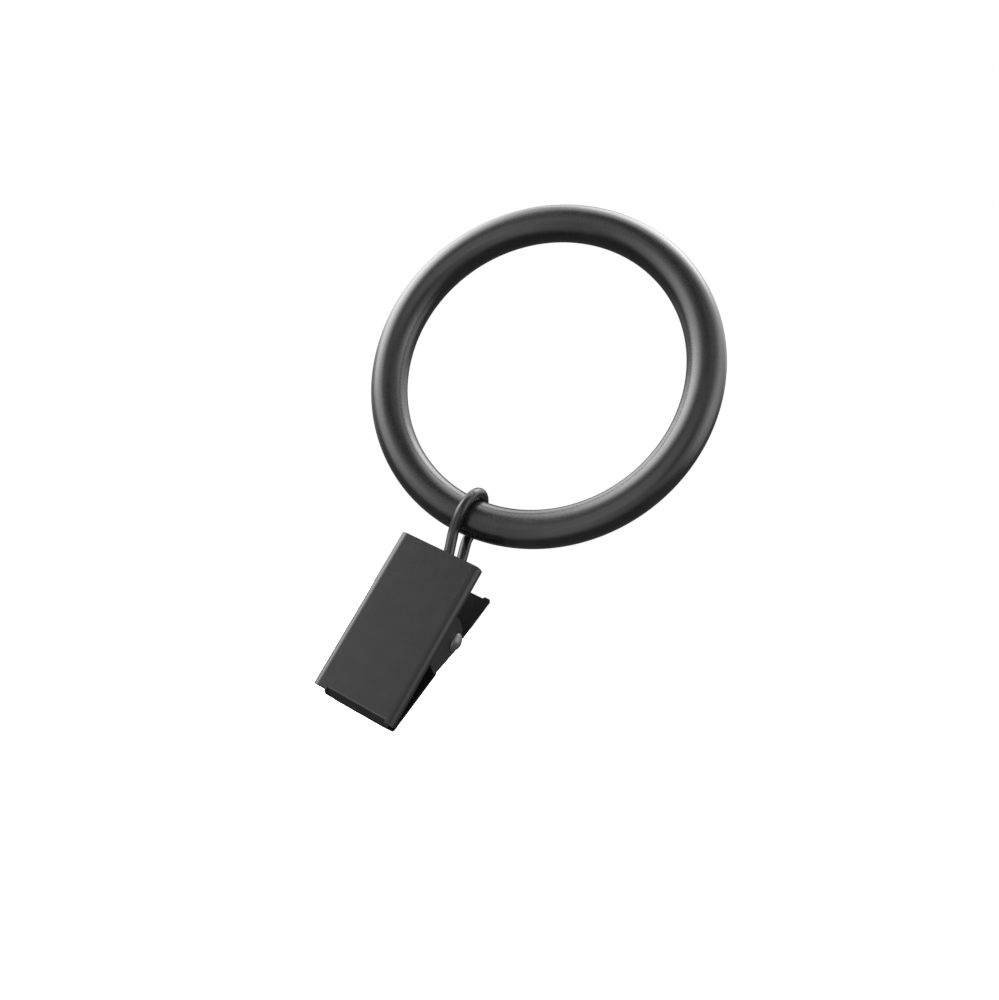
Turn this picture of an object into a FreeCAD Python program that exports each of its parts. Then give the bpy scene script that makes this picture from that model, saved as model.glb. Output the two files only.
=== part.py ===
import FreeCAD, Part
import math
import os

os.makedirs("parts", exist_ok=True)
V = FreeCAD.Vector

# ---------------------------------------------------------------- dimensions
# all in millimetres, degrees where said

# ring: round bar bent to a closed ring, axis along Y, centre at the origin
RING_INNER_D = 38.0
BAR_D = 5.0
RING_R = (RING_INNER_D + BAR_D) / 2.0

# hinge axis of the clip, parallel to X, below the ring's lowest point
CLIP_X = 0.2              # the clip's middle, along the pin
PIN_Y = -0.4
PIN_Z = -36.7
PIN_D = 1.5
HEAD_D = 2.5
HEAD_H = 0.8
CLIP_TILT = -8.7          # lean of the front plate about the hinge axis, degrees

# front plate, in the clip's own frame: hinge axis on X, plate upright
SHEET = 0.6
PLATE_W = 12.0
PLATE_TOP = 8.95
PLATE_FACE = -5.0         # outer face, in front of the hinge axis
CORNER_BOTTOM = -12.85
LIP_BOTTOM = -13.35
LIP_DEPTH = 2.62
LIP_SPAN = (-3.75, 4.9)    # left and right end of the lip
LIP_SLOPE = (1.2, 0.9)    # the slanted stretch between face and lip: depth, height
BEND_OUT = 0.75          # outside of the back plate's bends
FRONT_BEND = 1.05         # outside of the front plate's bends
FLANGE = 1.1
CHEEK_R = 1.85

# back plate, in its own frame: hinge axis on X, plate upright behind it
BACK_W = 10.6
BACK_LEAN = -20.8         # against the front plate, about the hinge axis, degrees
BACK_INNER = 2.69         # hinge axis to inner face
BACK_TOP = 9.05
BACK_BOTTOM = -12.98
EAR_R = 1.7
RUNNING = 0.05            # radial clearance of the ears on the pin

# wire loop
WIRE_D = 1.4
LOOP_X = 0.2              # where it hangs along the bar
LOOP_R = 3.5              # wire centre line of the upper arc
LOOP_TOP = 3.3            # top of that line above the bar's centre
LOOP_TURN = 112.0         # half angle of the upper arc, degrees
LEG_W = 2.75              # half width where the legs are bent sideways
LEG_BEND = 3.0
FOOT_R = 1.7              # wire centre line round the pin
FOOT_X = 3.5              # where it sits along the pin, beside the spring

# torsion spring
SPRING_WIRE = 0.7
SPRING_R = 1.55
SPRING_HALF_TURNS = 9
SPRING_PITCH = 0.76
SPRING_X0 = -4.0
ARM_BEND = 2.5            # where the arms leave the coil


# ------------------------------------------------------------------- helpers
def rounded(points, radii, to3d):
    """Closed wire through points (2-D), each corner rounded by its radius."""
    n = len(points)
    edges, ends = [], []
    for i in range(n):
        p0, p1, p2 = points[i - 1], points[i], points[(i + 1) % n]
        r = radii[i]
        if r <= 0:
            ends.append((p1, None, p1))
            continue
        a = (p0[0] - p1[0], p0[1] - p1[1])
        b = (p2[0] - p1[0], p2[1] - p1[1])
        la, lb = math.hypot(*a), math.hypot(*b)
        a, b = (a[0] / la, a[1] / la), (b[0] / lb, b[1] / lb)
        half = math.acos(max(-1, min(1, a[0] * b[0] + a[1] * b[1]))) / 2
        t = r / math.tan(half)
        s = (p1[0] + a[0] * t, p1[1] + a[1] * t)
        e = (p1[0] + b[0] * t, p1[1] + b[1] * t)
        m = (a[0] + b[0], a[1] + b[1])
        lm = math.hypot(*m)
        d = r / math.sin(half) - r
        ends.append((s, (p1[0] + m[0] / lm * d, p1[1] + m[1] / lm * d), e))
    for i in range(n):
        s, mid, e = ends[i]
        if mid is not None:
            edges.append(Part.Arc(to3d(s), to3d(mid), to3d(e)).toShape())
        nxt = ends[(i + 1) % n][0]
        if math.hypot(nxt[0] - e[0], nxt[1] - e[1]) > 1e-7:
            edges.append(Part.LineSegment(to3d(e), to3d(nxt)).toShape())
    return Part.Wire(edges)


def prism(points, radii, to3d, direction):
    return Part.Face(rounded(points, radii, to3d)).extrude(direction)


def in_xy(z):
    return lambda p: V(p[0], p[1], z)


def in_yz(x):
    return lambda p: V(x, p[0], p[1])


def in_xz(y):
    return lambda p: V(p[0], y, p[1])


def channel(half, face, tip, side, z0, z1, bend):
    """Sheet channel along Z: web on y = face, flanges reaching y = tip.
    side is +1 where the flanges point to +Y and -1 where they point to -Y."""
    inner = face + side * SHEET
    pts = [
        (-half, tip),
        (-half, face),
        (half, face),
        (half, tip),
        (half - SHEET, tip),
        (half - SHEET, inner),
        (-half + SHEET, inner),
        (-half + SHEET, tip),
    ]
    r = [0, bend, bend, 0, 0, bend - SHEET, bend - SHEET, 0]
    return prism(pts, r, in_xy(z0), V(0, 0, z1 - z0))


def one(shape):
    shape = shape.removeSplitter()
    solids = shape.Solids
    assert len(solids) == 1 and solids[0].isValid(), len(solids)
    return solids[0]


# ---------------------------------------------------------------------- ring
ring = Part.makeTorus(RING_R, BAR_D / 2.0, V(0, 0, 0), V(0, 1, 0))

# ----------------------------------------------------------------- wire loop
# the upper arc stands square to the bar; below it both legs are bent sideways
# and run down to the foot round the pin.  w is across (along Y), s is down
turn = math.radians(LOOP_TURN)
sc = LOOP_R - LOOP_TOP
w1, s1 = LOOP_R * math.sin(turn), sc - LOOP_R * math.cos(turn)
s2 = s1 + (w1 - LEG_W) / math.tan(turn - math.pi / 2)
foot = V(FOOT_X, PIN_Y, PIN_Z)
slope = V(FOOT_X - LOOP_X, 0, PIN_Z + RING_R + s2)
run = slope.Length
slope.normalize()


def upper(w, s):
    return V(LOOP_X, w, -RING_R - s)


def lower(w, s):
    """From the foot's centre, in the plane of the legs."""
    return foot + V(0, w, 0) + slope * s


def arc(at, c, r, a0, a1):
    q = [at(r * math.sin(a), c - r * math.cos(a)) for a in (a0, (a0 + a1) / 2, a1)]
    return Part.Arc(*q).toShape()


def lean_in(side):
    """A leg's lower run touches the foot circle at this angle."""
    m = LEG_W - side * PIN_Y
    dist = math.hypot(m, run)
    return math.asin(m / dist) - math.asin(FOOT_R / dist)


def leg_edges(side):
    """The two straight runs of one leg with a bend between them."""
    f = lean_in(side)
    top, corner = upper(side * w1, s1), upper(side * LEG_W, s2)
    end = lower(side * FOOT_R * math.cos(f), FOOT_R * math.sin(f))
    a, b = (top - corner).normalize(), (end - corner).normalize()
    half = a.getAngle(b) / 2
    t = LEG_BEND / math.tan(half)
    mid = corner + (a + b).normalize() * (LEG_BEND / math.sin(half) - LEG_BEND)
    return [
        Part.LineSegment(top, corner + a * t).toShape(),
        Part.Arc(corner + a * t, mid, corner + b * t).toShape(),
        Part.LineSegment(corner + b * t, end).toShape(),
    ]


path = Part.Wire(
    Part.__sortEdges__(
        [arc(upper, sc, LOOP_R, -turn, turn)]
        + leg_edges(1)
        + [arc(lower, 0, FOOT_R, math.pi / 2 + lean_in(1), 3 * math.pi / 2 - lean_in(-1))]
        + leg_edges(-1)
    )
)


def round_bar(edge, radius):
    """Solid round bar on one line or arc of a wire's centre line."""
    a, b = edge.FirstParameter, edge.LastParameter
    start = edge.valueAt(a)
    disc = Part.Face(Part.Wire([Part.Circle(start, edge.tangentAt(a), radius).toShape()]))
    if isinstance(edge.Curve, Part.Circle):
        return disc.revolve(edge.Curve.Center, edge.Curve.Axis, math.degrees(b - a))
    return disc.extrude(edge.valueAt(b) - start)


bars = [round_bar(e, WIRE_D / 2) for e in path.Edges]
hanger_link = one(bars[0].fuse(bars[1:]))

# --------------------------------------------------------------- front plate
half = PLATE_W / 2
body = channel(
    half, PLATE_FACE, PLATE_FACE + FLANGE, 1, CORNER_BOTTOM, PLATE_TOP, FRONT_BEND
)
# top corners of the stamped outline
body = body.common(
    prism(
        [(-half, CORNER_BOTTOM), (half, CORNER_BOTTOM), (half, PLATE_TOP), (-half, PLATE_TOP)],
        [0.25, 0.25, 0.3, 0.3],
        in_xz(PLATE_FACE - 1),
        V(0, 4, 0),
    )
)
# cheeks: deep flanges cut to their side outline
deep = channel(half, PLATE_FACE, 3.0, 1, -6.0, 4.0, FRONT_BEND)
cheek = prism(
    [
        (PLATE_FACE - 0.5, 2.4),
        (-2.1, 2.4),
        (0.15, CHEEK_R),
        (CHEEK_R + 0.02, 0.9),
        (CHEEK_R, -0.6),
        (-0.15, -3.95),
        (-0.75, -4.85),
        (-3.7, -4.25),
        (PLATE_FACE - 0.5, -4.25),
    ],
    [0, 1.2, 1.0, 1.0, 1.0, 0.4, 0.4, 0, 0],
    in_yz(-half - 1),
    V(PLATE_W + 2, 0, 0),
)
body = body.fuse(deep.common(cheek))
# gripping lip: a tab bent back at the lower end
y0, z0 = PLATE_FACE, LIP_BOTTOM
ld, lh = LIP_SLOPE
xl, xr = LIP_SPAN
ll = math.hypot(ld, lh)
lip = prism(
    [
        (y0, z0 + 2.2),
        (y0, z0 + lh),
        (y0 + ld, z0),
        (y0 + LIP_DEPTH, z0),
        (y0 + LIP_DEPTH, z0 + SHEET),
        (y0 + ld + SHEET * (ll - ld) / lh, z0 + SHEET),
        (y0 + SHEET, z0 + lh + SHEET * (ll - lh) / ld),
        (y0 + SHEET, z0 + 2.2),
    ],
    [0, 0.3, 0.5, 0.12, 0.12, 0, 0, 0],
    in_yz(xl),
    V(xr - xl, 0, 0),
)
lip = lip.common(
    prism(
        [
            (xl, y0 - 1),
            (xr, y0 - 1),
            (xr, y0 + LIP_DEPTH),
            (xl, y0 + LIP_DEPTH),
        ],
        [0, 0, 0.9, 0.9],
        in_xy(z0 - 1),
        V(0, 0, 5),
    )
)
lip = lip.common(
    prism(
        [
            (xl, z0),
            (xr, z0),
            (xr, z0 + 3),
            (xl, z0 + 3),
        ],
        [1.3, 0.3, 0, 0],
        in_xz(y0 - 1),
        V(0, 6, 0),
    )
)
# the tab takes the place of the web between the lower corners
body = body.cut(Part.makeBox(xr - xl, 2, 2, V(xl, y0 - 1, CORNER_BOTTOM - 1)))
body = body.fuse(lip)
body = body.cut(Part.makeCylinder(PIN_D / 2, 20, V(-10, 0, 0), V(1, 0, 0)))
front = one(body)

# ---------------------------------------------------------------- back plate
bh = BACK_W / 2
rear = BACK_INNER + SHEET
notch = 0.32
plate = prism(
    [
        (-bh, BACK_BOTTOM),
        (bh, BACK_BOTTOM),
        (bh, BACK_TOP + 0.3),
        (bh - 0.9, BACK_TOP + 0.3),
        (bh - 0.9, BACK_TOP),
        (-bh + 0.9, BACK_TOP),
        (-bh + 0.9, BACK_TOP + 0.3),
        (-bh, BACK_TOP + 0.3),
    ],
    [0.3, 0.3, 0.1, 0.12, 0.15, 0.15, 0.12, 0.1],
    in_xz(BACK_INNER),
    V(0, SHEET, 0),
)
ear_top, ear_low = 2.3, -3.2
# the ears' stretch is bent up from the plate, with a relief notch at each end
window = Part.makeBox(
    40, 5, ear_top - ear_low + 2 * notch, V(-20, BACK_INNER - 1, ear_low - notch)
)
mid = Part.makeBox(
    2 * (bh - BEND_OUT - 0.2), 5, ear_top - ear_low + 2 * notch,
    V(-(bh - BEND_OUT - 0.2), BACK_INNER - 1, ear_low - notch),
)
plate = plate.cut(window.cut(mid))
deep = channel(bh, rear, -3.0, -1, ear_low, ear_top, BEND_OUT)
ear = prism(
    [
        (rear + 0.5, ear_top),
        (rear - BEND_OUT, ear_top),
        (-EAR_R + 0.1, 1.35),
        (-EAR_R, -1.0),
        (-0.4, -EAR_R - 0.35),
        (rear - BEND_OUT, ear_low),
        (rear + 0.5, ear_low),
    ],
    [0, 0.3, 1.0, 1.0, 0.9, 0.3, 0],
    in_yz(-bh - 1),
    V(BACK_W + 2, 0, 0),
)
plate = plate.fuse(deep.common(ear))
plate = plate.cut(
    Part.makeCylinder(PIN_D / 2 + RUNNING, 20, V(-10, 0, 0), V(1, 0, 0))
)
back = one(plate)

# ----------------------------------------------------------------- hinge pin
r, hr = PIN_D / 2, HEAD_D / 2
edge = 0.12
sphere = (hr ** 2 + (HEAD_H - edge) ** 2) / (2 * (HEAD_H - edge))
x1, x2, x3 = half, half + edge, half + HEAD_H


def dome(sign):
    cx = x3 - sphere
    a = math.asin(hr / sphere) / 2
    mid = (cx + sphere * math.cos(a), sphere * math.sin(a))
    return Part.Arc(
        V(sign * x3, 0, 0), V(sign * mid[0], mid[1], 0), V(sign * x2, hr, 0)
    ).toShape()


outline = [
    dome(1),
    Part.LineSegment(V(x2, hr, 0), V(x1, hr, 0)).toShape(),
    Part.LineSegment(V(x1, hr, 0), V(x1, r, 0)).toShape(),
    Part.LineSegment(V(x1, r, 0), V(-x1, r, 0)).toShape(),
    Part.LineSegment(V(-x1, r, 0), V(-x1, hr, 0)).toShape(),
    Part.LineSegment(V(-x1, hr, 0), V(-x2, hr, 0)).toShape(),
    dome(-1),
    Part.LineSegment(V(-x3, 0, 0), V(x3, 0, 0)).toShape(),
]
pin = one(
    Part.Face(Part.Wire(Part.__sortEdges__(outline))).revolve(
        V(0, 0, 0), V(1, 0, 0), 360
    )
)

# ------------------------------------------------------------ torsion spring
gap = 0.06
# where each arm ends, resting on the inside of its plate
front_end = (PLATE_FACE + SHEET + SPRING_WIRE / 2 + gap, 6.4)
lean = math.radians(BACK_LEAN)
bl = (BACK_INNER - SPRING_WIRE / 2 - gap, 7.2)
back_end = (
    bl[0] * math.cos(lean) - bl[1] * math.sin(lean),
    bl[0] * math.sin(lean) + bl[1] * math.cos(lean),
)


def arm_edges(x, side, end):
    """One arm: up from the coil's side, bent outwards, straight to its end."""
    c = SPRING_R + ARM_BEND
    t = (side * end[0] - c, end[1])
    a = math.acos(ARM_BEND / math.hypot(*t)) + math.atan2(t[1], t[0])
    q = [(c + ARM_BEND * math.cos(v), ARM_BEND * math.sin(v))
         for v in (math.pi, (math.pi + a) / 2, a)]
    q = [V(x, side * u, w) for u, w in q]
    return [
        Part.Arc(q[0], q[1], q[2]).toShape(),
        Part.LineSegment(q[2], V(x, end[0], end[1])).toShape(),
    ]


# the coil is a chain of half turns, each a half circle on its own slant
step = SPRING_PITCH / 2
swell = math.hypot(SPRING_R, step / 2)
edges = arm_edges(SPRING_X0, -1, front_end)
for k in range(SPRING_HALF_TURNS):
    xa, xb = SPRING_X0 + k * step, SPRING_X0 + (k + 1) * step
    side = -1 if k % 2 == 0 else 1
    edges.append(
        Part.Arc(
            V(xa, side * SPRING_R, 0), V((xa + xb) / 2, 0, side * swell), V(xb, -side * SPRING_R, 0)
        ).toShape()
    )
edges += arm_edges(SPRING_X0 + SPRING_HALF_TURNS * step, 1, back_end)
path = Part.Wire(Part.__sortEdges__(edges))
first = path.OrderedEdges[0]
start = first.valueAt(first.FirstParameter)
along = first.tangentAt(first.FirstParameter)
ring_wire = Part.Wire([Part.Circle(start, along, SPRING_WIRE / 2).toShape()])
spring = path.makePipeShell([ring_wire], True, False)


# ------------------------------------------------------------- put in place
def place(shape, extra=0.0):
    s = shape.copy()
    s.rotate(V(0, 0, 0), V(1, 0, 0), CLIP_TILT + extra)
    s.translate(V(CLIP_X, PIN_Y, PIN_Z))
    return s


nodes = {
    "ring": ring,
    "hanger_link": hanger_link,
    "front_plate": place(front),
    "back_plate": place(back, BACK_LEAN),
    "hinge_pin": place(pin),
    "torsion_spring": place(spring),
}
for name, shape in nodes.items():
    solid = shape.Solids[0] if shape.ShapeType != "Solid" else shape
    assert solid.isValid() and solid.isClosed() and solid.Volume > 0, name
    solid.exportStep("parts/" + name + ".step")
    b = solid.BoundBox
    print(
        name, round(solid.Volume, 2), "mm3",
        [round(v, 2) for v in (b.XMin, b.XMax, b.YMin, b.YMax, b.ZMin, b.ZMax)],
    )
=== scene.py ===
import math

import bmesh
import bpy
from mathutils import Matrix, Vector


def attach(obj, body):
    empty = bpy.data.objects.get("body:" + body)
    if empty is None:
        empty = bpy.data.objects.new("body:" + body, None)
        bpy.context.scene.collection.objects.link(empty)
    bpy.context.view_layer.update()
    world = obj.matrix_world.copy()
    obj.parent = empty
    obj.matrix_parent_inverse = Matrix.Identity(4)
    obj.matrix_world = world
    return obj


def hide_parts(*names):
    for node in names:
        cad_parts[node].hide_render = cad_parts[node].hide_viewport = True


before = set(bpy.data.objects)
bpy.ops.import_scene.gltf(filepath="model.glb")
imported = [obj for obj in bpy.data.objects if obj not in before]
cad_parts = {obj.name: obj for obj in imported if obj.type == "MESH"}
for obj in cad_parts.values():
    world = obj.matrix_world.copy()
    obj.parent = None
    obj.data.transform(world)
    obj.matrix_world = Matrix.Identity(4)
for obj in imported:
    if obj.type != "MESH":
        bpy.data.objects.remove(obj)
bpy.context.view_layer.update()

MM = 0.001

# ------------------------------------------------------------- driving sizes
RING_R, BAR_R = 21.5, 2.5
PIN = Vector((0.2, -0.4, -36.7))
PIN_R, HEAD_R, HEAD_H, HALF_W = 0.75, 1.25, 0.8, 6.0
TILT = math.radians(-8.7)
LEAN = math.radians(-20.8)
SHEET = 0.6
WIRE_R = 0.7
LOOP_X, LOOP_R, LOOP_TOP, LOOP_TURN = 0.2, 3.5, 3.3, math.radians(112.0)
LEG_W, LEG_BEND, FOOT_R, FOOT_X = 2.75, 3.0, 1.7, 3.5
SPRING_R, SPRING_WIRE_R = 1.55, 0.35
SPRING_HALF_TURNS, SPRING_PITCH, SPRING_X0, ARM_BEND = 9, 0.76, -4.0, 2.5
PLATE_FACE, BACK_INNER = -5.0, 2.69


# ------------------------------------------------------------------ geometry
def new_object(name, bm, material):
    bmesh.ops.recalc_face_normals(bm, faces=bm.faces)
    mesh = bpy.data.meshes.new(name)
    bm.to_mesh(mesh)
    bm.free()
    for p in mesh.polygons:
        p.use_smooth = True
    obj = bpy.data.objects.new(name, mesh)
    bpy.context.scene.collection.objects.link(obj)
    mesh.materials.append(material)
    return obj


def sweep(bm, centres, tangents, radii, sides, closed):
    """Round tube on a line of points in millimetres, with a carried normal."""
    t0 = tangents[0].normalized()
    n = t0.orthogonal().normalized()
    rings = []
    last = t0
    for c, t, r in zip(centres, tangents, radii):
        t = t.normalized()
        n = last.rotation_difference(t) @ n
        n = (n - t * n.dot(t)).normalized()
        last = t
        b = t.cross(n)
        rings.append(
            [
                bm.verts.new(
                    (c + (n * math.cos(a) + b * math.sin(a)) * r) * MM
                )
                for a in (2 * math.pi * k / sides for k in range(sides))
            ]
        )
    count = len(rings)
    shift = 0
    if closed:
        # the carried normal may come back turned: join with the nearest start
        target = rings[-1][0].co
        near = min(range(sides), key=lambda k: (rings[0][k].co - target).length)
        shift = near
    for i in range(count if closed else count - 1):
        a, b = rings[i], rings[(i + 1) % count]
        off = shift if (closed and i == count - 1) else 0
        for k in range(sides):
            bm.faces.new(
                (a[k], a[(k + 1) % sides], b[(k + 1 + off) % sides], b[(k + off) % sides])
            )
    if not closed:
        # slightly crowned cut ends
        for ringv, c, t, r, sign in (
            (rings[0], centres[0], tangents[0], radii[0], -1),
            (rings[-1], centres[-1], tangents[-1], radii[-1], 1),
        ):
            tip = bm.verts.new((c + t.normalized() * (sign * r * 0.12)) * MM)
            for k in range(sides):
                bm.faces.new((ringv[k], ringv[(k + 1) % sides], tip))


def clip_point(x, y, z):
    """A point of the clip's own frame (hinge axis on X) in the row frame, mm."""
    c, s = math.cos(TILT), math.sin(TILT)
    return Vector((PIN.x + x, PIN.y + y * c - z * s, PIN.z + y * s + z * c))


def make_ring(material):
    bm = bmesh.new()
    nu, nv = 288, 56
    grid = []
    for i in range(nu):
        u = 2 * math.pi * i / nu
        row = []
        for j in range(nv):
            v = 2 * math.pi * j / nv
            d = RING_R + BAR_R * math.cos(v)
            row.append(
                bm.verts.new(
                    Vector((d * math.cos(u), BAR_R * math.sin(v), d * math.sin(u))) * MM
                )
            )
        grid.append(row)
    for i in range(nu):
        for j in range(nv):
            bm.faces.new(
                (
                    grid[i][j],
                    grid[(i + 1) % nu][j],
                    grid[(i + 1) % nu][(j + 1) % nv],
                    grid[i][(j + 1) % nv],
                )
            )
    return new_object("ring_bar", bm, material)


def make_link(material):
    """Wire loop: an arc over the bar, legs bent sideways, a foot round the pin."""
    sc = LOOP_R - LOOP_TOP
    w1, s1 = LOOP_R * math.sin(LOOP_TURN), sc - LOOP_R * math.cos(LOOP_TURN)
    s2 = s1 + (w1 - LEG_W) / math.tan(LOOP_TURN - math.pi / 2)
    foot = Vector((FOOT_X, PIN.y, PIN.z))
    slope = Vector((FOOT_X - LOOP_X, 0, PIN.z + RING_R + s2))
    run = slope.length
    slope.normalize()

    def upper(w, s):
        return Vector((LOOP_X, w, -RING_R - s))

    def lower(w, s):
        return foot + Vector((0, w, 0)) + slope * s

    def lean(side):
        m = LEG_W - side * PIN.y
        dist = math.hypot(m, run)
        return math.asin(m / dist) - math.asin(FOOT_R / dist)

    def span(p0, p1, n):
        return [p0.lerp(p1, k / n) for k in range(n)]

    def leg(side):
        f = lean(side)
        top, corner = upper(side * w1, s1), upper(side * LEG_W, s2)
        end = lower(side * FOOT_R * math.cos(f), FOOT_R * math.sin(f))
        a, b = (top - corner).normalized(), (end - corner).normalized()
        half = a.angle(b) / 2
        t = LEG_BEND / math.tan(half)
        p, q = corner + a * t, corner + b * t
        centre = corner + (a + b).normalized() * (LEG_BEND / math.sin(half))
        v0, v1 = (p - centre).normalized(), (q - centre).normalized()
        bend = [
            centre + v0.slerp(v1, k / 10).normalized() * LEG_BEND for k in range(10)
        ]
        return span(top, p, 5) + bend + span(q, end, 20), end

    top = [
        upper(LOOP_R * math.sin(f), sc - LOOP_R * math.cos(f))
        for f in (-LOOP_TURN + 2 * LOOP_TURN * k / 64 for k in range(64))
    ]
    f0, f1 = math.pi / 2 + lean(1), 3 * math.pi / 2 - lean(-1)
    low = [
        lower(FOOT_R * math.sin(f), -FOOT_R * math.cos(f))
        for f in (f0 + (f1 - f0) * k / 36 for k in range(36))
    ]
    back_leg, _ = leg(1)
    front_leg, front_end = leg(-1)
    pts = top + back_leg + low + list(reversed(front_leg[1:] + [front_end]))
    n = len(pts)
    tans = [pts[(i + 1) % n] - pts[i - 1] for i in range(n)]
    bm = bmesh.new()
    sweep(bm, pts, tans, [WIRE_R] * n, 28, True)
    return new_object("link_wire", bm, material)


def make_pin(material):
    edge = 0.12
    sphere = (HEAD_R ** 2 + (HEAD_H - edge) ** 2) / (2 * (HEAD_H - edge))
    tip = HALF_W + HEAD_H
    top = math.asin(HEAD_R / sphere)
    dome = [
        (tip - sphere + sphere * math.cos(top * k / 12), sphere * math.sin(top * k / 12))
        for k in range(1, 13)
    ]
    # small round where the dome meets the rim, then under the head
    dome[-1] = (dome[-1][0] + 0.01, dome[-1][1] - 0.03)
    prof = dome + [
        (HALF_W + edge * 0.6, HEAD_R),
        (HALF_W + 0.03, HEAD_R),
        (HALF_W, HEAD_R - 0.03),
        (HALF_W, PIN_R),
        (0.0, PIN_R),
    ]
    prof = prof + [(-x, r) for x, r in reversed(prof[:-1])]
    sides = 48
    bm = bmesh.new()
    rings = [
        [
            bm.verts.new(
                clip_point(x, r * math.cos(2 * math.pi * k / sides), r * math.sin(2 * math.pi * k / sides)) * MM
            )
            for k in range(sides)
        ]
        for x, r in prof
    ]
    for a, b in zip(rings, rings[1:]):
        for k in range(sides):
            bm.faces.new((a[k], a[(k + 1) % sides], b[(k + 1) % sides], b[k]))
    for ringv, x in ((rings[0], tip), (rings[-1], -tip)):
        c = bm.verts.new(clip_point(x, 0, 0) * MM)
        for k in range(sides):
            bm.faces.new((ringv[k], ringv[(k + 1) % sides], c))
    obj = new_object("pin_rivet", bm, material)
    sharp(obj, 50)
    return obj


def make_spring(material):
    """Coil with its front arm, and the back arm as a piece of its own that
    turns with the back plate and overlaps the coil's last stretch."""
    gap = 0.06
    fe = (PLATE_FACE + SHEET + SPRING_WIRE_R + gap, 6.4)
    bl = (BACK_INNER - SPRING_WIRE_R - gap, 7.2)
    be = (
        bl[0] * math.cos(LEAN) - bl[1] * math.sin(LEAN),
        bl[0] * math.sin(LEAN) + bl[1] * math.cos(LEAN),
    )
    step = SPRING_PITCH / 2
    swell = math.hypot(SPRING_R, step / 2)

    def arm(x, side, end):
        """From the coil outwards: a bend, then a straight run to the end."""
        c = SPRING_R + ARM_BEND
        t = (side * end[0] - c, end[1])
        a = math.acos(ARM_BEND / math.hypot(*t)) + math.atan2(t[1], t[0])
        bend = [
            Vector((x, side * (c + ARM_BEND * math.cos(v)), ARM_BEND * math.sin(v)))
            for v in (math.pi + (a - math.pi) * k / 10 for k in range(11))
        ]
        tip = Vector((x, end[0], end[1]))
        return bend + [bend[-1].lerp(tip, k / 8) for k in range(1, 9)]

    def half_turn(k, f):
        """Point at share f of the k-th half turn."""
        xa = SPRING_X0 + k * step
        side = -1 if k % 2 == 0 else 1
        a = math.pi * f
        u = Vector((-step / 2, side * SPRING_R, 0)) / swell
        return Vector((xa + step / 2, 0, 0)) + (
            u * math.cos(a) + Vector((0, 0, side)) * math.sin(a)
        ) * swell

    coil = [
        half_turn(k, i / 18) for k in range(SPRING_HALF_TURNS) for i in range(18)
    ]
    last = SPRING_HALF_TURNS - 1
    end = half_turn(last, 1.0)
    first = list(reversed(arm(SPRING_X0, -1, fe)))[:-1] + coil + [end]
    second = [half_turn(last, 0.8 + 0.2 * k / 8) for k in range(8)] + arm(end.x, 1, be)
    out = []
    for name, line, r in (
        ("spring_coil", first, SPRING_WIRE_R),
        ("spring_back_arm", second, SPRING_WIRE_R * 0.985),
    ):
        pts = [clip_point(*v) for v in line]
        m = len(pts)
        tans = [pts[min(i + 1, m - 1)] - pts[max(i - 1, 0)] for i in range(m)]
        bm = bmesh.new()
        sweep(bm, pts, tans, [r] * m, 18, False)
        obj = new_object(name, bm, material)
        sharp(obj, 50)
        out.append(obj)
    return out


def sharp(obj, degrees):
    """Smooth shading with hard edges kept over an angle."""
    bm = bmesh.new()
    bm.from_mesh(obj.data)
    for e in bm.edges:
        e.smooth = not (
            len(e.link_faces) == 2 and e.calc_face_angle(0.0) > math.radians(degrees)
        )
    bm.to_mesh(obj.data)
    bm.free()


def make_plate(node, name, material, width):
    """The stamped sheet as packed, with its cut edges broken by a small round."""
    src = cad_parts[node]
    bm = bmesh.new()
    bm.from_mesh(src.data)
    bmesh.ops.remove_doubles(bm, verts=bm.verts, dist=2e-6)
    bmesh.ops.dissolve_limit(
        bm, angle_limit=math.radians(0.6), verts=bm.verts, edges=bm.edges,
        use_dissolve_boundaries=False,
    )
    mesh = bpy.data.meshes.new(name)
    bm.to_mesh(mesh)
    bm.free()
    obj = bpy.data.objects.new(name, mesh)
    bpy.context.scene.collection.objects.link(obj)
    mod = obj.modifiers.new("edge_break", "BEVEL")
    mod.width = width
    mod.segments = 3
    mod.limit_method = "ANGLE"
    mod.angle_limit = math.radians(40)
    mod.use_clamp_overlap = True
    mod.harden_normals = False
    mod.miter_outer = "MITER_ARC"
    bpy.context.view_layer.update()
    dg = bpy.context.evaluated_depsgraph_get()
    done = bpy.data.meshes.new_from_object(obj.evaluated_get(dg))
    obj.modifiers.clear()
    obj.data = done
    done.name = name
    done.materials.clear()
    done.materials.append(material)
    for p in done.polygons:
        p.use_smooth = True
    weigh = obj.modifiers.new("face_normals", "WEIGHTED_NORMAL")
    weigh.keep_sharp = False
    weigh.weight = 80
    bpy.context.view_layer.update()
    dg = bpy.context.evaluated_depsgraph_get()
    final = bpy.data.meshes.new_from_object(obj.evaluated_get(dg))
    obj.modifiers.clear()
    obj.data = final
    return obj


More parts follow.
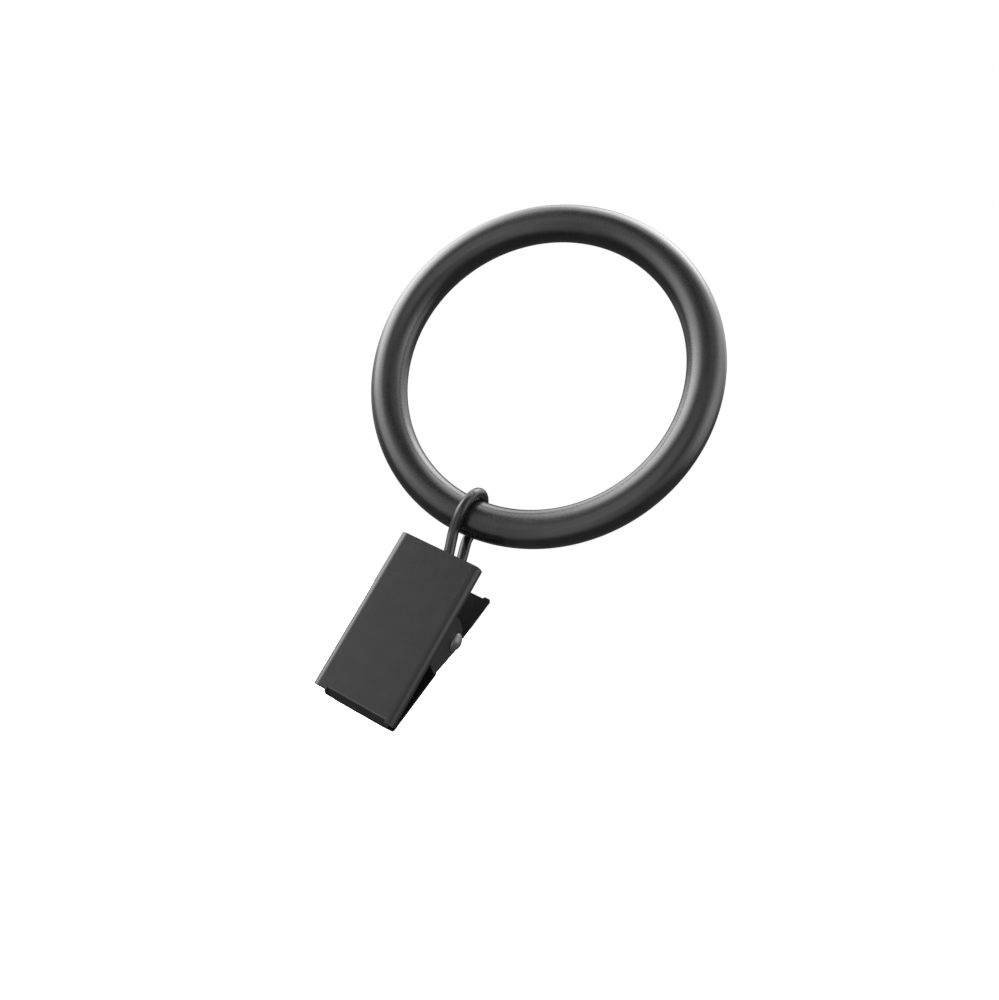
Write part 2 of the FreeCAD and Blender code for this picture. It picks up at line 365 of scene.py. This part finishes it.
# ----------------------------------------------------------------- materials
def coat(name, low, high, rough, grain, peel, shine):
    """Satin black coat: faint mottling, orange peel, and a fine grain that
    also moves the gloss a little."""
    mat = bpy.data.materials.new(name)
    mat.use_nodes = True
    nt = mat.node_tree
    nodes, links = nt.nodes, nt.links
    nodes.clear()
    out = nodes.new("ShaderNodeOutputMaterial")
    bsdf = nodes.new("ShaderNodeBsdfPrincipled")
    links.new(bsdf.outputs["BSDF"], out.inputs["Surface"])
    bsdf.inputs["Metallic"].default_value = 0.0
    bsdf.inputs["IOR"].default_value = 1.5
    bsdf.inputs["Specular IOR Level"].default_value = shine
    coord = nodes.new("ShaderNodeTexCoord")

    def noise(scale, detail, roughness=0.5):
        n = nodes.new("ShaderNodeTexNoise")
        n.inputs["Scale"].default_value = scale
        n.inputs["Detail"].default_value = detail
        n.inputs["Roughness"].default_value = roughness
        links.new(coord.outputs["Object"], n.inputs["Vector"])
        return n

    broad = noise(420.0, 3.0)
    fine = noise(grain, 4.0, 0.6)
    skin = noise(peel, 2.0)

    ramp = nodes.new("ShaderNodeValToRGB")
    ramp.color_ramp.elements[0].position = 0.32
    ramp.color_ramp.elements[0].color = (*low, 1)
    ramp.color_ramp.elements[1].position = 0.68
    ramp.color_ramp.elements[1].color = (*high, 1)
    links.new(broad.outputs["Fac"], ramp.inputs["Fac"])
    speck = nodes.new("ShaderNodeMix")
    speck.data_type = "RGBA"
    speck.blend_type = "MULTIPLY"
    tone = nodes.new("ShaderNodeMapRange")
    tone.inputs["From Min"].default_value = 0.3
    tone.inputs["From Max"].default_value = 0.7
    tone.inputs["To Min"].default_value = 0.78
    tone.inputs["To Max"].default_value = 1.16
    links.new(fine.outputs["Fac"], tone.inputs["Value"])
    speck.inputs["Factor"].default_value = 1.0
    links.new(ramp.outputs["Color"], speck.inputs["A"])
    links.new(tone.outputs["Result"], speck.inputs["B"])
    links.new(speck.outputs["Result"], bsdf.inputs["Base Color"])

    gloss = nodes.new("ShaderNodeMapRange")
    gloss.inputs["From Min"].default_value = 0.3
    gloss.inputs["From Max"].default_value = 0.7
    gloss.inputs["To Min"].default_value = rough - 0.045
    gloss.inputs["To Max"].default_value = rough + 0.055
    links.new(fine.outputs["Fac"], gloss.inputs["Value"])
    links.new(gloss.outputs["Result"], bsdf.inputs["Roughness"])

    b1 = nodes.new("ShaderNodeBump")
    b1.inputs["Strength"].default_value = 0.22
    b1.inputs["Distance"].default_value = 0.000018
    links.new(skin.outputs["Fac"], b1.inputs["Height"])
    b2 = nodes.new("ShaderNodeBump")
    b2.inputs["Strength"].default_value = 0.20
    b2.inputs["Distance"].default_value = 0.000006
    links.new(fine.outputs["Fac"], b2.inputs["Height"])
    links.new(b1.outputs["Normal"], b2.inputs["Normal"])
    links.new(b2.outputs["Normal"], bsdf.inputs["Normal"])
    return mat


def steel_wire(name):
    """Drawn spring wire: grey steel with fine lengthwise streaks."""
    mat = bpy.data.materials.new(name)
    mat.use_nodes = True
    nt = mat.node_tree
    nodes, links = nt.nodes, nt.links
    bsdf = nodes["Principled BSDF"]
    bsdf.inputs["Metallic"].default_value = 1.0
    coord = nodes.new("ShaderNodeTexCoord")
    stretch = nodes.new("ShaderNodeMapping")
    stretch.inputs["Scale"].default_value = (5200.0, 900.0, 900.0)
    links.new(coord.outputs["Object"], stretch.inputs["Vector"])
    n = nodes.new("ShaderNodeTexNoise")
    n.inputs["Scale"].default_value = 1.0
    n.inputs["Detail"].default_value = 4.0
    links.new(stretch.outputs["Vector"], n.inputs["Vector"])
    ramp = nodes.new("ShaderNodeValToRGB")
    ramp.color_ramp.elements[0].position = 0.3
    ramp.color_ramp.elements[0].color = (0.16, 0.16, 0.165, 1)
    ramp.color_ramp.elements[1].position = 0.72
    ramp.color_ramp.elements[1].color = (0.36, 0.36, 0.37, 1)
    links.new(n.outputs["Fac"], ramp.inputs["Fac"])
    links.new(ramp.outputs["Color"], bsdf.inputs["Base Color"])
    gloss = nodes.new("ShaderNodeMapRange")
    gloss.inputs["To Min"].default_value = 0.28
    gloss.inputs["To Max"].default_value = 0.5
    links.new(n.outputs["Fac"], gloss.inputs["Value"])
    links.new(gloss.outputs["Result"], bsdf.inputs["Roughness"])
    bump = nodes.new("ShaderNodeBump")
    bump.inputs["Strength"].default_value = 0.3
    bump.inputs["Distance"].default_value = 0.00001
    links.new(n.outputs["Fac"], bump.inputs["Height"])
    links.new(bump.outputs["Normal"], bsdf.inputs["Normal"])
    return mat


ring_coat = coat("ring_coat", (0.0078, 0.0078, 0.0079), (0.0125, 0.0125, 0.0126), 0.25, 5200.0, 1500.0, 0.68)
wire_coat = coat("wire_coat", (0.0066, 0.0066, 0.0067), (0.0108, 0.0108, 0.0109), 0.25, 6500.0, 2300.0, 0.52)
plate_coat = coat("plate_coat", (0.0092, 0.0092, 0.0093), (0.0130, 0.0130, 0.0131), 0.33, 5600.0, 1700.0, 0.5)
# dark, dull coat for the back plate's inner faces: painted shade for the shadow between the two plates; the
# real plate has one coat all over
back_inner_painted_shade = coat("back_inner_painted_shade", (0.0028, 0.0028, 0.0029), (0.0048, 0.0048, 0.0049), 0.42, 5600.0, 1700.0, 0.09)
# the rivet's base colour is several times lighter than the other coats: a painted highlight that brightens its
# head
pin_coat = coat("pin_coat", (0.0520, 0.0520, 0.0521), (0.0740, 0.0740, 0.0741), 0.28, 6500.0, 2300.0, 0.9)
spring_steel = steel_wire("spring_steel")

# -------------------------------------------------------------------- pieces
ring = make_ring(ring_coat)
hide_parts("ring")
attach(ring, "ring")

link = make_link(wire_coat)
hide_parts("hanger_link")
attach(link, "link")

front = make_plate("front_plate", "front_sheet", plate_coat, 0.11 * MM)
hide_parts("front_plate")
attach(front, "front_jaw")

back = make_plate("back_plate", "back_sheet", back_inner_painted_shade, 0.11 * MM)
# the back plate's outer faces get the plate coat; its inner faces keep the dark coat, painted shade where the
# front plate shades them
back.data.materials.append(plate_coat)
for face in back.data.polygons:
    face.material_index = 1 if face.normal.y > 0.3 else 0
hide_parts("back_plate")
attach(back, "back_jaw")

pin = make_pin(pin_coat)
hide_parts("hinge_pin")
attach(pin, "front_jaw")

coil, arm = make_spring(spring_steel)
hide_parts("torsion_spring")
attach(coil, "front_jaw")
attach(arm, "back_jaw")

# -------------------------------------------------------------------- camera
eye = Vector((48.84, -119.93, -31.96)) * MM
ahead = Vector((-0.3558, 0.9283, 0.1085)).normalized()
up = Vector((-0.3814, -0.2502, 0.8899))
up = (up - ahead * up.dot(ahead)).normalized()
right = ahead.cross(up)
cam_data = bpy.data.cameras.new("camera")
cam_data.lens = 36.0
cam_data.sensor_width = 36.0
cam_data.clip_start = 0.005
cam_data.clip_end = 50.0
cam = bpy.data.objects.new("camera", cam_data)
bpy.context.scene.collection.objects.link(cam)
cam.matrix_world = Matrix(
    (
        (right.x, up.x, -ahead.x, eye.x),
        (right.y, up.y, -ahead.y, eye.y),
        (right.z, up.z, -ahead.z, eye.z),
        (0, 0, 0, 1),
    )
)
bpy.context.scene.camera = cam

# --------------------------------------------------------- floor and lighting
floor_mat = bpy.data.materials.new("pale_floor")
floor_mat.use_nodes = True
fb = floor_mat.node_tree.nodes["Principled BSDF"]
fb.inputs["Base Color"].default_value = (0.9, 0.9, 0.9, 1)
fb.inputs["Roughness"].default_value = 0.9
fb.inputs["Specular IOR Level"].default_value = 0.1
fb.inputs["Emission Color"].default_value = (1, 1, 1, 1)
fb.inputs["Emission Strength"].default_value = 0.92
bm = bmesh.new()
bmesh.ops.create_grid(bm, x_segments=1, y_segments=1, size=6.0)
floor = new_object("floor", bm, floor_mat)
floor.location = (0, 0, -0.16)
floor.visible_glossy = False
floor.visible_diffuse = False
floor.visible_shadow = False

world = bpy.data.worlds.new("studio")
bpy.context.scene.world = world
world.use_nodes = True
wt = world.node_tree
wt.nodes.clear()
w_out = wt.nodes.new("ShaderNodeOutputWorld")
seen = wt.nodes.new("ShaderNodeBackground")
seen.inputs["Color"].default_value = (1, 1, 1, 1)
seen.inputs["Strength"].default_value = 1.0
tent = wt.nodes.new("ShaderNodeBackground")
mix = wt.nodes.new("ShaderNodeMixShader")
path = wt.nodes.new("ShaderNodeLightPath")
wt.links.new(path.outputs["Is Camera Ray"], mix.inputs["Fac"])
wt.links.new(tent.outputs["Background"], mix.inputs[1])
wt.links.new(seen.outputs["Background"], mix.inputs[2])
wt.links.new(mix.outputs["Shader"], w_out.inputs["Surface"])
way = wt.nodes.new("ShaderNodeTexCoord")


def lobe(direction, lo, hi, gain):
    """A soft patch of light in one direction of the tent."""
    d = wt.nodes.new("ShaderNodeVectorMath")
    d.operation = "DOT_PRODUCT"
    wt.links.new(way.outputs["Generated"], d.inputs[0])
    d.inputs[1].default_value = direction.normalized()
    m = wt.nodes.new("ShaderNodeMapRange")
    m.interpolation_type = "SMOOTHSTEP"
    m.inputs["From Min"].default_value = lo
    m.inputs["From Max"].default_value = hi
    m.inputs["To Min"].default_value = 0.0
    m.inputs["To Max"].default_value = gain
    wt.links.new(d.outputs["Value"], m.inputs["Value"])
    return m.outputs["Result"]


def total(parts, base):
    acc = None
    for p in parts:
        a = wt.nodes.new("ShaderNodeMath")
        a.operation = "ADD"
        wt.links.new(p, a.inputs[0])
        if acc is None:
            a.inputs[1].default_value = base
        else:
            wt.links.new(acc, a.inputs[1])
        acc = a.outputs["Value"]
    return acc


# soft boxes round the object: right, up, towards the camera, edge, core, gain
BOXES = (
    (-0.68, 0.73, -0.11, 0.82, 1.00, 5.0),  # key, high on the left
    (-0.84, 0.53, 0.12, 0.80, 0.97, 1.6),  # key's lower half
    (-0.84, 0.50, -0.22, 0.88, 1.00, 1.0),  # key's far side
    (-0.70, 0.60, 0.38, 0.92, 1.00, 0.6),  # key's near side
    (-0.69, 0.29, -0.67, 0.88, 1.00, 0.4),  # behind on the left
    (-0.40, 0.70, -0.60, 0.85, 1.00, 3.2),  # high behind, left
    (0.35, 0.84, -0.42, 0.85, 1.00, 4.4),  # high behind, right
    (0.08, 0.99, -0.05, 0.88, 1.00, 2.6),  # overhead
    (0.66, 0.73, -0.10, 0.82, 1.00, 1.8),  # high on the right
    (0.67, 0.50, -0.55, 0.82, 1.00, 1.6),  # behind on the right
    (-0.93, 0.10, 0.35, 0.85, 1.00, 1.2),  # left side
    (0.97, 0.05, 0.10, 0.80, 1.00, 1.6),  # right side
    (0.90, 0.20, 0.40, 0.85, 1.00, 1.0),  # right side, nearer
    (0.75, -0.15, 0.65, 0.87, 1.00, 0.8),  # right side, in front
    (-0.20, 0.15, 0.97, 0.85, 1.00, 1.0),  # front fill
    (-0.50, -0.50, 0.70, 0.80, 1.00, 0.6),  # low fill, left
    (0.00, -0.45, 0.90, 0.80, 1.00, 0.6),  # low fill
    (-0.60, 0.40, 0.70, 0.85, 1.00, 0.32),  # front, left
    (0.50, 0.50, 0.70, 0.85, 1.00, 0.5),  # front, right
)
light = total(
    [lobe(right * x + up * y - ahead * z, lo, hi, gain) for x, y, z, lo, hi, gain in BOXES],
    0.13,
)
wt.links.new(light, tent.inputs["Strength"])
tent.inputs["Color"].default_value = (1, 1, 1, 1)

view = bpy.context.scene.view_settings
view.view_transform = "Standard"
view.look = "None"
view.exposure = 0.0
view.gamma = 1.0
